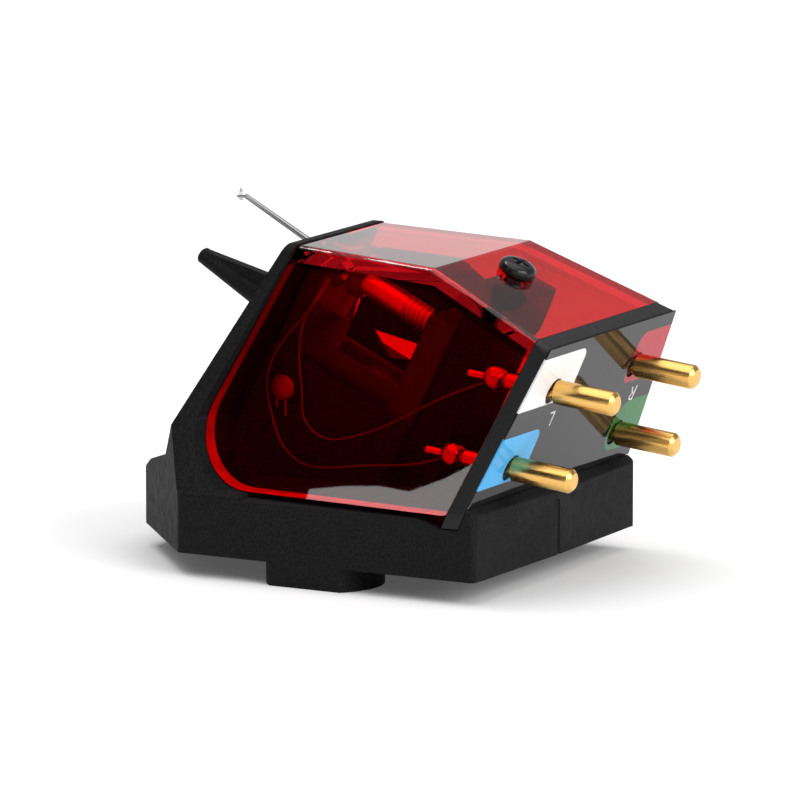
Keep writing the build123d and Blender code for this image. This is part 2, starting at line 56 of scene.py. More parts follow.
# Axes that several pieces share, as the solids have them
pivot = Vector(frame["joints"][0]["pos_m"])
wallLean = math.radians(28.9)
forward = Vector((-math.cos(wallLean), 0, math.sin(wallLean)))
poleTilt = math.radians(25.5)
poleDir = Vector((math.cos(poleTilt), 0, -math.sin(poleTilt)))
poleDown = Vector((-math.sin(poleTilt), 0, -math.cos(poleTilt)))
plateLean = math.radians(24.3)
plateFoot = Vector((7.75, 0, 4.3)) * mm
plateUp = Vector((math.sin(plateLean), 0, math.cos(plateLean)))
plateOut = Vector((math.cos(plateLean), 0, -math.sin(plateLean)))
pinMounts = {m["name"][:-4]: m for m in frame["record"]["mounts"] if m["kind"] == "pin"}


def pinAxis(name):
    mount = pinMounts[name]
    return Vector(mount["pos_m"]), Vector(mount["axis"]).normalized()


def pinCrossing(name):
    # where a pin's axis meets the front face of the terminal plate
    middle, axis = pinAxis(name)
    return middle + axis * ((plateFoot - middle).dot(plateOut) / axis.dot(plateOut))


def poleAt(along, below, side):
    return pivot + poleDir * along + poleDown * below + Vector((0, side, 0))


# Working steps that the pieces share
mergeGap = 0.0005 * mm  # points nearer than this become one
sliceGap = 0.0001 * mm  # a slice takes in points nearer than this
flatAngle = math.radians(1)  # faces that meet flatter than this become one


def deselect():
    bpy.ops.object.select_all(action="DESELECT")


def pick(piece):
    deselect()
    piece.select_set(True)
    bpy.context.view_layer.objects.active = piece


def editAll(piece):
    pick(piece)
    bpy.ops.object.mode_set(mode="EDIT")
    bpy.ops.mesh.select_all(action="SELECT")


def leaveEdit():
    bpy.ops.object.mode_set(mode="OBJECT")


def settle(piece):
    # puts the place, turn and scale of a new piece into its mesh
    pick(piece)
    bpy.ops.object.transform_apply(location=True, rotation=True, scale=True)


def sliceAll(spot, way, **sides):
    bpy.ops.mesh.select_all(action="SELECT")
    bpy.ops.mesh.bisect(plane_co=spot, plane_no=way, threshold=sliceGap, **sides)


def added(name):
    piece = bpy.context.object
    piece.name = name
    piece.data.name = name
    return piece


def copyOfNode(node, name):
    # the solid's own mesh, merged, with its flat faces made whole
    piece = bpy.data.objects.new(name, frame["nodes"][node].data.copy())
    piece.data.materials.clear()
    bpy.context.scene.collection.objects.link(piece)
    editAll(piece)
    bpy.ops.mesh.remove_doubles(threshold=mergeGap)
    bpy.ops.mesh.dissolve_limited(angle_limit=flatAngle)
    leaveEdit()
    return piece


def applyModifier(piece, modifier):
    pick(piece)
    bpy.ops.object.modifier_apply(modifier=modifier.name)


def cutAway(piece, cutter):
    cut = piece.modifiers.new("cut", "BOOLEAN")
    cut.operation = "DIFFERENCE"
    cut.solver = "EXACT"
    cut.object = cutter
    applyModifier(piece, cut)
    bpy.data.objects.remove(cutter)


def roundEdges(piece, width, angle=32):
    bevel = piece.modifiers.new("roundedEdges", "BEVEL")
    bevel.width = width
    bevel.segments = 2
    bevel.limit_method = "ANGLE"
    bevel.angle_limit = math.radians(angle)
    bevel.miter_outer = "MITER_ARC"
    applyModifier(piece, bevel)


def smooth(piece, angle=35, weighted=False):
    pick(piece)
    bpy.ops.object.shade_smooth_by_angle(angle=math.radians(angle))
    if weighted:
        normals = piece.modifiers.new("flatFaces", "WEIGHTED_NORMAL")
        normals.keep_sharp = True
        normals.weight = 100  # the large faces alone
        applyModifier(piece, normals)


def block(name, size, middle, turn=0.0):
    deselect()
    bpy.ops.mesh.primitive_cube_add(size=1)
    piece = added(name)
    piece.scale = size
    piece.location = middle
    piece.rotation_euler = (0, 0, turn)
    settle(piece)
    return piece


def turned(name, sides, profile):
    # round solid along Z through (height, radius) steps, extruded ring by ring
    deselect()
    height, radius = profile[0]
    bpy.ops.mesh.primitive_circle_add(vertices=sides, radius=radius, fill_type="NGON")
    piece = added(name)
    editAll(piece)
    bpy.ops.transform.translate(value=(0, 0, height))
    for nextHeight, nextRadius in profile[1:]:
        rise = (0, 0, nextHeight - height)
        bpy.ops.mesh.extrude_region_move(TRANSFORM_OT_translate={"value": rise})
        grow = nextRadius / radius
        bpy.ops.transform.resize(value=(grow, grow, 1), center_override=(0, 0, nextHeight))
        height, radius = nextHeight, nextRadius
    bpy.ops.mesh.select_all(action="SELECT")
    bpy.ops.mesh.normals_make_consistent(inside=False)
    leaveEdit()
    return piece


def threaded(name, thread):
    # helical ridge between flat ends along Z: one tooth, swept by a Screw modifier
    pitch, length = thread["pitch"], thread["length"]
    deselect()
    bpy.ops.mesh.primitive_plane_add(size=pitch)
    piece = added(name)
    editAll(piece)
    bpy.ops.mesh.select_all(action="DESELECT")
    leaveEdit()
    piece.data.vertices[3].select = True
    bpy.ops.object.mode_set(mode="EDIT")
    bpy.ops.mesh.delete(type="VERT")  # the three corners left are the tooth
    leaveEdit()
    spare = 2  # turns past each end, which the slices take off
    crest, foot, top = piece.data.vertices
    low = -spare * pitch
    foot.co = (thread["root"], 0, low)
    crest.co = (thread["crest"], 0, low + pitch / 2)
    top.co = (thread["root"], 0, low + pitch)
    screw = piece.modifiers.new("thread", "SCREW")
    screw.axis = "Z"
    screw.screw_offset = pitch
    screw.iterations = math.ceil(length / pitch) + 2 * spare
    screw.steps = screw.render_steps = thread["sides"]
    screw.use_smooth_shade = False
    applyModifier(piece, screw)
    editAll(piece)
    bpy.ops.mesh.remove_doubles(threshold=mergeGap)
    sliceAll((0, 0, 0), (0, 0, 1), use_fill=True, clear_inner=True)
    sliceAll((0, 0, length), (0, 0, 1), use_fill=True, clear_outer=True)
    bpy.ops.mesh.select_all(action="SELECT")
    bpy.ops.mesh.normals_make_consistent(inside=False)
    leaveEdit()
    return piece


def lumpyBead(name, look, size, seed):
    # sphere drawn out to its size, uneven as a drop of solder that has set
    deselect()
    bpy.ops.mesh.primitive_uv_sphere_add(segments=look["segments"], ring_count=look["rings"], radius=1)
    piece = added(name)
    piece.scale = size
    settle(piece)
    editAll(piece)
    even = look["evenLumps"]
    bpy.ops.transform.vertex_random(offset=look["lumps"], uniform=even, normal=1 - even, seed=seed)
    bpy.ops.mesh.vertices_smooth(factor=0.5, repeat=2)
    leaveEdit()
    return piece


def place(piece, origin, direction):
    # turns the Z axis of a new piece along a direction and keeps its place in its mesh
    piece.rotation_mode = "QUATERNION"
    piece.rotation_quaternion = direction.to_track_quat("Z", "Y")
    piece.location = origin
    settle(piece)


def joinPieces(pieces, name):
    pick(pieces[0])
    for piece in pieces[1:]:
        piece.select_set(True)
    bpy.ops.object.join()
    return added(name)


def keep(piece, body, slot, material, *nodes):
    piece.data.materials.clear()
    piece.data.materials.append(material)
    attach(piece, body)
    if nodes:
        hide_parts(*nodes)


def dressNode(node, material):
    solid = frame["nodes"][node]
    solid.data.materials.clear()
    solid.data.materials.append(material)


# Materials
noiseSpan = (0.3, 0.7)  # most of a noise lies between these
coarseTimes = 4  # coarse marks on plastic, against its grain
metalShade = 0.88  # darker marks on metal, against its colour


def startMaterial(name, color, roughness, metallic=0.0):
    material = bpy.data.materials.new(name)
    material.use_nodes = True
    shader = material.node_tree.nodes["Principled BSDF"]
    shader.inputs["Base Color"].default_value = (*color, 1)
    shader.inputs["Roughness"].default_value = roughness
    shader.inputs["Metallic"].default_value = metallic
    return material, material.node_tree.nodes, material.node_tree.links, shader


def shaded(color, share):
    return [share * part for part in color]


def noiseOf(nodes, links, size, detail=3.0, stretch=None):
    # noise on the piece's own coordinates, with patches about as large as size
    coords = nodes.new("ShaderNodeTexCoord").outputs["Object"]
    noise = nodes.new("ShaderNodeTexNoise")
    noise.inputs["Scale"].default_value = 1 / size
    noise.inputs["Detail"].default_value = detail
    if stretch:
        mapping = nodes.new("ShaderNodeMapping")
        mapping.inputs["Rotation"].default_value = stretch["turn"]
        mapping.inputs["Scale"].default_value = stretch["scale"]
        links.new(coords, mapping.inputs["Vector"])
        coords = mapping.outputs["Vector"]
    links.new(coords, noise.inputs["Vector"])
    return noise.outputs["Fac"]


def rangeOf(nodes, links, source, given, wanted):
    ranged = nodes.new("ShaderNodeMapRange")
    ranged.inputs["From Min"].default_value, ranged.inputs["From Max"].default_value = given
    ranged.inputs["To Min"].default_value, ranged.inputs["To Max"].default_value = wanted
    links.new(source, ranged.inputs["Value"])
    return ranged.outputs["Result"]


def spread(nodes, links, source, low, high):
    return rangeOf(nodes, links, source, noiseSpan, (low, high))


def mathNode(nodes, links, operation, first, second=None):
    node = nodes.new("ShaderNodeMath")
    node.operation = operation
    for socket, value in zip(node.inputs, (first, second)):
        if value is None:
            continue
        if isinstance(value, (int, float)):
            socket.default_value = value
        else:
            links.new(value, socket)
    return node.outputs["Value"]


def bumpFrom(nodes, links, shader, source, depth, strength=1.0):
    bump = nodes.new("ShaderNodeBump")
    bump.inputs["Distance"].default_value = depth
    bump.inputs["Strength"].default_value = strength
    links.new(source, bump.inputs["Height"])
    links.new(bump.outputs["Normal"], shader.inputs["Normal"])


def twoTones(nodes, links, shader, source, dark, light):
    mix = nodes.new("ShaderNodeMix")
    mix.data_type = "RGBA"
    mix.inputs["A"].default_value = (*dark, 1)
    mix.inputs["B"].default_value = (*light, 1)
    links.new(source, mix.inputs["Factor"])
    links.new(mix.outputs["Result"], shader.inputs["Base Color"])


def grainyPlastic(name, look):
    material, nodes, links, shader = startMaterial(name, look["dark"], look["roughness"][0])
    shader.inputs["Specular IOR Level"].default_value = look["specular"]
    fine = noiseOf(nodes, links, look["grain"])
    coarse = noiseOf(nodes, links, coarseTimes * look["grain"])
    twoTones(nodes, links, shader, spread(nodes, links, fine, 0, 1), look["dark"], look["light"])
    links.new(spread(nodes, links, coarse, *look["roughness"]), shader.inputs["Roughness"])
    bumpFrom(nodes, links, shader, fine, look["grainDepth"])
    return material


def plainMetal(name, look):
    color = look["color"]
    material, nodes, links, shader = startMaterial(name, color, look["roughness"][0], metallic=1.0)
    marks = noiseOf(nodes, links, look["grain"], detail=2.0, stretch=look.get("stretch"))
    links.new(spread(nodes, links, marks, *look["roughness"]), shader.inputs["Roughness"])
    twoTones(nodes, links, shader, marks, shaded(color, metalShade), color)
    if "grainDepth" in look:
        bumpFrom(nodes, links, shader, marks, look["grainDepth"])
    return material


# Moulded frame: the solid with rounded edges and a parting line down its rear face
frameLook = {
    "edge": 0.08 * mm,
    "seamWidth": 0.24 * mm,
    "seamDepth": 0.2 * mm,
    "seamTop": 3.9 * mm,
    "sliver": 0.002 * mm,  # edges shorter than this are merged
    "dark": (0.0078, 0.0076, 0.008),
    "light": (0.0175, 0.017, 0.018),
    "roughness": (0.5, 0.62),
    "grain": 0.12 * mm,
    "grainDepth": 0.018 * mm,
    "specular": 0.05,
}


def cutSeam(piece):
    look = frameLook
    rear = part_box("body_frame")[1].x
    size = (2 * look["seamDepth"], look["seamWidth"], look["seamTop"])
    cutAway(piece, block("seam", size, (rear, 0, look["seamTop"] / 2)))


def makeFrame():
    look = frameLook
    piece = copyOfNode("body_frame", "moulded_frame")
    roundEdges(piece, look["edge"])
    cutSeam(piece)
    editAll(piece)
    bpy.ops.mesh.remove_doubles(threshold=look["sliver"])
    bpy.ops.mesh.dissolve_degenerate(threshold=look["sliver"])
    leaveEdit()
    smooth(piece, weighted=True)
    keep(piece, "housing", "frame_plastic", grainyPlastic("framePlastic", look), "body_frame")


makeFrame()
print("moulded frame done")


# Clear cover: polished walls, a darker rim under the top, matt sawn edges
coverLook = {
    "edge": 0.05 * mm,
    "color": (0.8, 0.006, 0.012),
    "ior": 1.16,  # little bending, so that the corners stay clear; the gloss is in the coat
    "coatIor": 1.4,
    "rimColor": (0.2, 0.002, 0.004),  # seen lengthwise through the top
    "roughness": 0.01,
    "mattColor": (0.85, 0.008, 0.012),
    "mattDark": (0.16, 0.002, 0.003),
    "mattRoughness": 0.6,
    "mattGrain": 0.05 * mm,
    "mattGrainDepth": 0.005 * mm,
    "mattHeights": (5.5 * mm, 11 * mm),
    "mattPatch": 1.1 * mm,
    "mattLit": (0.35, 1.0),  # least and most light in the patches
    "mattBelow": 7.5 * mm,  # edges under this height stand on the frame
    "wallSide": 1.2 * mm,  # edges nearer the middle belong to the top
    # shares of a face's normal that tell which way it looks
    "facing": 0.5,
    "facingDown": 0.8,
    "sawnDown": 0.35,
    "sawnAcross": 0.3,
}


def clearRed(name, color, coat):
    look = coverLook
    material, nodes, links, shader = startMaterial(name, color, look["roughness"])
    shader.inputs["Transmission Weight"].default_value = 1.0
    shader.inputs["IOR"].default_value = look["ior"]
    shader.inputs["Coat Weight"].default_value = coat
    shader.inputs["Coat IOR"].default_value = look["coatIor"]
    shader.inputs["Coat Roughness"].default_value = look["roughness"]
    # lamps and bounced light reach the generator through the tinted wall
    passing = nodes.new("ShaderNodeBsdfTransparent")
    passing.inputs["Color"].default_value = (*[part ** 0.5 for part in color], 1)
    path = nodes.new("ShaderNodeLightPath")
    shadow, bounced = path.outputs["Is Shadow Ray"], path.outputs["Is Diffuse Ray"]
    lighting = mathNode(nodes, links, "MAXIMUM", shadow, bounced)
    mix = nodes.new("ShaderNodeMixShader")
    links.new(lighting, mix.inputs["Fac"])
    links.new(shader.outputs["BSDF"], mix.inputs[1])
    links.new(passing.outputs["BSDF"], mix.inputs[2])
    links.new(mix.outputs["Shader"], nodes["Material Output"].inputs["Surface"])
    return material


def mattRed():
    look = coverLook
    material, nodes, links, shader = startMaterial("mattRedEdge", look["mattColor"], look["mattRoughness"])
    # less light reaches the edges further up
    split = nodes.new("ShaderNodeSeparateXYZ")
    links.new(nodes.new("ShaderNodeTexCoord").outputs["Object"], split.inputs["Vector"])
    lit = rangeOf(nodes, links, split.outputs["Z"], look["mattHeights"], (1, 0))
    patches = noiseOf(nodes, links, look["mattPatch"], detail=2.0)
    patches = spread(nodes, links, patches, *look["mattLit"])
    lit = mathNode(nodes, links, "MULTIPLY", lit, patches)
    twoTones(nodes, links, shader, lit, look["mattDark"], look["mattColor"])
    bumpFrom(nodes, links, shader, noiseOf(nodes, links, look["mattGrain"]), look["mattGrainDepth"])
    return material


def cutRims(piece):
    # the top's underside cuts a rim off each side, which the top's own thickness lies behind
    planes = {}
    for face in piece.data.polygons:
        if face.normal.z < -coverLook["facingDown"] and face.center.z > coverLook["mattBelow"]:
            planes[round(face.normal.x, 1)] = (face.center.copy(), face.normal.copy())
    editAll(piece)
    for spot, way in planes.values():
        sliceAll(spot, way)
    leaveEdit()
    return list(planes.values())


def coverFinish(face, undersides):
    # which of the cover's materials a face takes: 0 outside, 1 sawn edge, 2 inside, 3 rim
    look = coverLook
    turn, middle = face.normal, face.center
    sideways, outwards = abs(turn.y) > look["facing"], turn.y * middle.y > 0
    rearwards, frontwards = turn.x > look["facing"], turn.x < -look["facing"]
    if sideways and outwards and any((middle - spot).dot(way) < 0 for spot, way in undersides):
        return 3
    onFrame = middle.z < look["mattBelow"] or rearwards
    if (sideways and not outwards) or (turn.z < -look["facingDown"] and not onFrame):
        return 2
    # sawn edges stand on the frame, against its front wall and against the terminal plate
    sawn = frontwards or (turn.z < -look["sawnDown"] and onFrame)
    onWall = abs(middle.y) > look["wallSide"] or rearwards
    return 1 if abs(turn.y) < look["sawnAcross"] and sawn and onWall else 0


def makeCover():
    look = coverLook
    piece = copyOfNode("cover", "clear_cover")
    undersides = cutRims(piece)
    roundEdges(piece, look["edge"])
    smooth(piece, weighted=True)
    keep(piece, "housing", "clear_red", clearRed("clearRed", look["color"], coat=1.0), "cover")
    piece.data.materials.append(mattRed())
    piece.data.materials.append(clearRed("clearRedInside", look["color"], coat=0.0))
    piece.data.materials.append(clearRed("clearRedRim", look["rimColor"], coat=1.0))
    for face in piece.data.polygons:
        face.material_index = coverFinish(face, undersides)


makeCover()
print("clear cover done")


# Cover screw: pan head with a tapered cross recess, threaded shank
screwLook = {
    "headRadius": 0.94 * mm,
    "headHeight": 0.62 * mm,
    "seatShare": 0.93,  # of the head's radius, where it meets the cover
    "seatHeight": 0.06 * mm,
    "dome": 0.34 * mm,
    "domeReach": 0.5 * mm,
    "domeSteps": 6,
    "sides": 64,
    "edge": 0.03 * mm,
    "recessWidth": 0.3 * mm,
    "recessReach": 0.64 * mm,
    "recessDepth": 0.36 * mm,
    "recessTaper": 0.55,
    "thread": {"root": 0.41 * mm, "crest": 0.5 * mm, "pitch": 0.24 * mm, "length": 3.5 * mm, "sides": 32},
    "topGap": 0.001 * mm,  # the head's top face is found this closely
    "dark": (0.006, 0.006, 0.0065),
    "light": (0.016, 0.016, 0.017),
    "roughness": (0.1, 0.2),
    "specular": 0.3,
    "wear": 0.12 * mm,
    "wearDepth": 0.01 * mm,
}
rearFall = math.radians(23.5)
rearNormal = Vector((math.sin(rearFall), 0, math.cos(rearFall)))


def screwSeat():
    # middle of the head's underside, one head's height below the middle of its top face
    points = [vertex.co for vertex in frame["nodes"]["cover_screw"].data.vertices]
    top = max(point.dot(rearNormal) for point in points)
    ring = [point for point in points if top - point.dot(rearNormal) < screwLook["topGap"]]
    middle = sum(ring, Vector()) / len(ring)
    low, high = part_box("cover_screw")
    middle.y = (low.y + high.y) / 2
    return middle - rearNormal * screwLook["headHeight"]


def screwHead():
    look = screwLook
    radius, height, dome = look["headRadius"], look["headHeight"], look["dome"]
    profile = [(0, look["seatShare"] * radius), (look["seatHeight"], radius), (height - dome, radius)]
    for step in range(1, look["domeSteps"] + 1):
        turn = math.radians(90 * step / look["domeSteps"])
        inwards = look["domeReach"] * (1 - math.cos(turn))
        profile.append((height - dome + dome * math.sin(turn), radius - inwards))
    head = turned("screw_head", look["sides"], profile)
    size = (2 * look["recessReach"], look["recessWidth"], 2 * look["recessDepth"])
    for turn in (0, math.pi / 2):
        cutter = block("recess", size, (0, 0, height), turn)
        for corner in cutter.data.vertices:
            if corner.co.z < height:
                corner.co.x *= look["recessTaper"]
                corner.co.y *= look["recessTaper"]
        cutAway(head, cutter)
    roundEdges(head, look["edge"], 40)
    return head


def blackOxide():
    look = screwLook
    material, nodes, links, shader = startMaterial("blackOxide", look["dark"], look["roughness"][0])
    shader.inputs["Specular IOR Level"].default_value = look["specular"]
    wear = noiseOf(nodes, links, look["wear"])
    twoTones(nodes, links, shader, wear, look["dark"], look["light"])
    links.new(spread(nodes, links, wear, *look["roughness"]), shader.inputs["Roughness"])
    bumpFrom(nodes, links, shader, wear, look["wearDepth"])
    return material


def makeScrew():
    head = screwHead()
    shank = threaded("screw_shank", screwLook["thread"])
    shank.rotation_euler = (math.pi, 0, 0)
    settle(shank)
    piece = joinPieces([head, shank], "pan_head_screw")
    place(piece, screwSeat(), rearNormal)
    smooth(piece, 30)
    keep(piece, "housing", "black_screw", blackOxide(), "cover_screw")


makeScrew()
print("cover screw done")


# Terminal plate
plateLook = {
    "edge": 0.05 * mm,
    "dark": (0.008, 0.008, 0.0085),
    "light": (0.015, 0.015, 0.016),
    "roughness": (0.4, 0.52),
    "grain": 0.08 * mm,
    "grainDepth": 0.004 * mm,
    "specular": 0.25,
}


def makePlate():
    piece = copyOfNode("terminal_plate", "rear_plate")
    roundEdges(piece, plateLook["edge"], 40)
    smooth(piece, weighted=True)
    keep(piece, "housing", "plate_plastic", grainyPlastic("platePlastic", plateLook), "terminal_plate")


makePlate()

# Label: a rounded field of colour round each pin, as (side, height along the plate) in millimetres
labelLook = {
    "depth": 0.95 * mm,  # its outer face, from the plate's front face
    "ground": (0.012, 0.012, 0.013),
    "roughness": 0.06,
    "specular": 0.2,
    "ripple": 2.2 * mm,
    "rippleDepth": 0.01 * mm,
    "rippleStrength": 0.6,
    "softEdge": 0.01,  # millimetres, each side of a field's outline
    "fields": {
        "white": {"low": (-9.0, 6.0), "high": (-2.25, 8.85), "corner": 0.6, "color": (0.93, 0.94, 0.95)},
        "blue": {"low": (-10.0, 1.85), "high": (-3.75, 4.6), "corner": 0.6, "color": (0.06, 0.46, 0.92)},
        "red": {"low": (3.7, 5.7), "high": (9.0, 8.6), "corner": 0.6, "color": (0.5, 0.012, 0.03)},
        "green": {"low": (4.65, 1.6), "high": (10.0, 4.5), "corner": 1.2, "color": (0.02, 0.2, 0.045)},
    },
}


def roundedField(nodes, links, across, height, field):
    # 1 inside a rectangle with round corners, 0 outside it
    outside = []
    for axis, value in enumerate((across, height)):
        low, high = field["low"][axis], field["high"][axis]
        offset = mathNode(nodes, links, "SUBTRACT", value, (low + high) / 2)
        offset = mathNode(nodes, links, "ABSOLUTE", offset)
        past = mathNode(nodes, links, "SUBTRACT", offset, (high - low) / 2 - field["corner"])
        past = mathNode(nodes, links, "MAXIMUM", past, 0.0)
        outside.append(mathNode(nodes, links, "POWER", past, 2.0))
    reach = mathNode(nodes, links, "SQRT", mathNode(nodes, links, "ADD", *outside))
    corner, soft = field["corner"], labelLook["softEdge"]
    return rangeOf(nodes, links, reach, (corner + soft, corner - soft), (0, 1))


def labelFilm():
    look = labelLook
    material, nodes, links, shader = startMaterial("labelFilm", look["ground"], look["roughness"])
    shader.inputs["Specular IOR Level"].default_value = look["specular"]
    mapping = nodes.new("ShaderNodeMapping")  # turns the piece's own axes into the plate's, in millimetres
    mapping.inputs["Scale"].default_value = (1 / mm, 1 / mm, 1 / mm)
    mapping.inputs["Rotation"].default_value = (0, -plateLean, 0)
    shift = (-plateFoot.dot(plateOut) / mm, 0, -plateFoot.dot(plateUp) / mm)
    mapping.inputs["Location"].default_value = shift
    links.new(nodes.new("ShaderNodeTexCoord").outputs["Object"], mapping.inputs["Vector"])
    split = nodes.new("ShaderNodeSeparateXYZ")
    links.new(mapping.outputs["Vector"], split.inputs["Vector"])
    color = None
    for field in look["fields"].values():
        inside = roundedField(nodes, links, split.outputs["Y"], split.outputs["Z"], field)
        mix = nodes.new("ShaderNodeMix")
        mix.data_type = "RGBA"
        links.new(inside, mix.inputs["Factor"])
        mix.inputs["A"].default_value = (*look["ground"], 1)
        mix.inputs["B"].default_value = (*field["color"], 1)
        if color:
            links.new(color, mix.inputs["A"])
        color = mix.outputs["Result"]
    links.new(color, shader.inputs["Base Color"])
    ripple = noiseOf(nodes, links, look["ripple"], detail=1.0)
    bumpFrom(nodes, links, shader, ripple, look["rippleDepth"], look["rippleStrength"])
    return material


def makeLabel():
    piece = copyOfNode("terminal_label", "pin_label")
    smooth(piece, 30)
    keep(piece, "housing", "label_film", labelFilm(), "terminal_label")


makeLabel()

# Channel letters on the label, upside down while the cartridge stands on its pads
letterLook = {
    "height": 0.85 * mm,
    "capShare": 0.7,  # a capital's height, against the size of its type
    "thick": 0.008 * mm,
    "color": (0.75, 0.75, 0.76),
    "shade": 0.9,
    "grain": 0.1 * mm,
    "roughness": 0.25,
    "places": {"L": (-3.2, 5.05), "R": (5.55, 4.95)},  # as the fields on the label
}


def frameOnLabel(side, height):
    right, up = Vector((0, -1, 0)), -plateUp
    origin = plateFoot + plateOut * labelLook["depth"] + plateUp * height * mm + Vector((0, side * mm, 0))
    turn = Matrix((right, up, plateOut)).transposed().to_4x4()
    turn.translation = origin
    return turn


def makeLetters():
    look = letterLook
    material, nodes, links, shader = startMaterial("letterInk", look["color"], look["roughness"])
    grain = noiseOf(nodes, links, look["grain"])
    twoTones(nodes, links, shader, grain, shaded(look["color"], look["shade"]), look["color"])
    for letter, (side, height) in look["places"].items():
        deselect()
        bpy.ops.object.text_add()
        text = bpy.context.object.data
        text.body = letter
        text.align_x = "CENTER"
        text.align_y = "CENTER"
        text.size = look["height"] / look["capShare"]
        text.extrude = look["thick"]
        bpy.ops.object.convert(target="MESH")
        piece = added("channel_letter_" + letter)
        editAll(piece)
        bpy.ops.mesh.remove_doubles(threshold=mergeGap)
        leaveEdit()
        piece.matrix_world = frameOnLabel(side, height)
        settle(piece)
        keep(piece, "housing", "label_film", material)


makeLetters()
print("terminal plate, label and letters done")


# Terminal pins: free end with a chamfer, core through the plate and tail
pinLook = {
    "radius": 0.6 * mm,
    "shoulder": 0.04 * mm,
    "chamfer": 0.18 * mm,
    "edge": 0.03 * mm,  # rounding of the chamfer's corners, with the drops below
    "edgeDrops": (0.012 * mm, 0.035 * mm),
    "endDrop": 0.01 * mm,
    "coreRadius": 0.42 * mm,
    "tailRadius": 0.2 * mm,
    "tailEnd": -3.55 * mm,  # from the plate's front face, along the pin
    "tailStart": -1.35 * mm,
    "tailTip": 0.06 * mm,
    "tailTipShare": 0.7,
    "sides": 64,
    "droop": math.radians(6.3),
    "color": (0.86, 0.52, 0.17),
    "dark": (0.76, 0.45, 0.12),
    "roughness": (0.2, 0.32),
    "rings": {"size": 0.06 * mm, "scale": (1, 0.06, 0.06), "depth": 0.0012 * mm},  # round the pin
    "streaks": {"size": 0.2 * mm, "scale": (0.08, 1, 1)},  # along the pin
}


def pinGold():
    look = pinLook
    color = look["color"]
    material, nodes, links, shader = startMaterial("goldPlate", color, look["roughness"][0], metallic=1.0)
    marks = {}
    for name in ("rings", "streaks"):
        stretch = {"turn": (0, -look["droop"], 0), "scale": look[name]["scale"]}
        marks[name] = noiseOf(nodes, links, look[name]["size"], detail=2.0, stretch=stretch)
    links.new(spread(nodes, links, marks["streaks"], *look["roughness"]), shader.inputs["Roughness"])
    twoTones(nodes, links, shader, marks["streaks"], look["dark"], color)
    bumpFrom(nodes, links, shader, marks["rings"], look["rings"]["depth"])
    return material


def pinProfile(freeStart, freeEnd):
    look = pinLook
    radius, chamfer, edge = look["radius"], look["chamfer"], look["edge"]
    return [
        (look["tailEnd"], look["tailTipShare"] * look["tailRadius"]),
        (look["tailEnd"] + look["tailTip"], look["tailRadius"]),
        (look["tailStart"], look["tailRadius"]),
        (look["tailStart"], look["coreRadius"]),
        (freeStart, look["coreRadius"]),
        (freeStart, radius - look["shoulder"]),
        (freeStart + look["shoulder"], radius),
        (freeEnd - edge, radius),
        (freeEnd, radius - look["edgeDrops"][0]),
        (freeEnd + edge, radius - look["edgeDrops"][1]),
        (freeEnd + chamfer - edge, radius - chamfer + edge),
        (freeEnd + chamfer, radius - chamfer - look["endDrop"]),
    ]


def makePins():
    gold = pinGold()
    for name, mount in pinMounts.items():
        middle, axis = pinAxis(name)
        crossing = pinCrossing(name)
        freeLength = mount["dims"]["length_mm"] * mm
        freeStart = (middle - crossing).dot(axis) - freeLength / 2
        profile = pinProfile(freeStart, freeStart + freeLength)
        piece = turned("terminal_pin_" + name, pinLook["sides"], profile)
        place(piece, crossing, axis)
        smooth(piece, 30)
        keep(piece, "housing", "pin_gold", gold, "pin_" + name)


makePins()
print("terminal pins done")


# Solder beads
solderLook = {
    "radius": 0.66 * mm,
    "half": 0.68 * mm,  # half its length along the pin
    "offset": -2.05 * mm,  # from the plate's front face, along the pin
    "segments": 20,
    "rings": 12,
    "lumps": 0.05 * mm,
    "evenLumps": 0.3,  # share of the lumps that is equally high
    "firstSeed": 3,
    "color": (0.72, 0.71, 0.7),
    "roughness": (0.12, 0.32),
    "grain": 0.3 * mm,
    "grainDepth": 0.01 * mm,
}


def makeSolder():
    look = solderLook
    material = plainMetal("solderMetal", look)
    size = (look["radius"], look["radius"], look["half"])
    for seed, name in enumerate(pinMounts, look["firstSeed"]):
        piece = lumpyBead("solder_bead_" + name, look, size, seed)
        rounder = piece.modifiers.new("rounder", "SUBSURF")
        rounder.levels = rounder.render_levels = 1
        applyModifier(piece, rounder)
        axis = pinAxis(name)[1]
        place(piece, pinCrossing(name) + axis * look["offset"], axis)
        smooth(piece, 80)
        keep(piece, "housing", "solder", material, "solder_" + name)


makeSolder()

# Coil leads: the route's points on the right-hand side, in millimetres
leadLook = {
    "radius": 0.05 * mm,
    "start": {"signal": 0.35 * mm, "ground": 0.9 * mm},  # below the pole's axis
    "startAlong": -0.34 * mm,
    "startSide": 1.4 * mm,
    "routes": {
        "signal": [
            (-2.55, 2.3, 13.3),
            (-3.1, 2.95, 12.0),
            (-3.15, 3.2, 10.2),
            (-2.9, 3.25, 8.6),
            (-2.9, 3.3, 7.2),
            (-1.6, 3.4, 6.3),
            (0.4, 3.5, 6.75),
            (2.4, 3.65, 7.6),
            (4.3, 3.9, 8.65),
            (6.3, 4.15, 9.6),
        ],
        "ground": [
            (-2.95, 2.7, 12.4),
            (-3.9, 2.95, 11.4),
            (-4.75, 3.2, 10.0),
            (-4.95, 3.25, 8.6),
            (-4.5, 3.35, 7.1),
            (-3.9, 3.6, 5.9),
            (-2.5, 3.9, 5.05),
            (-0.6, 4.15, 5.2),
            (1.4, 4.4, 5.55),
            (3.3, 4.8, 5.75),
            (5.0, 5.2, 6.1),
        ],
    },
    "color": (0.2, 0.085, 0.045),
    "roughness": (0.4, 0.55),
    "grain": 0.2 * mm,
}


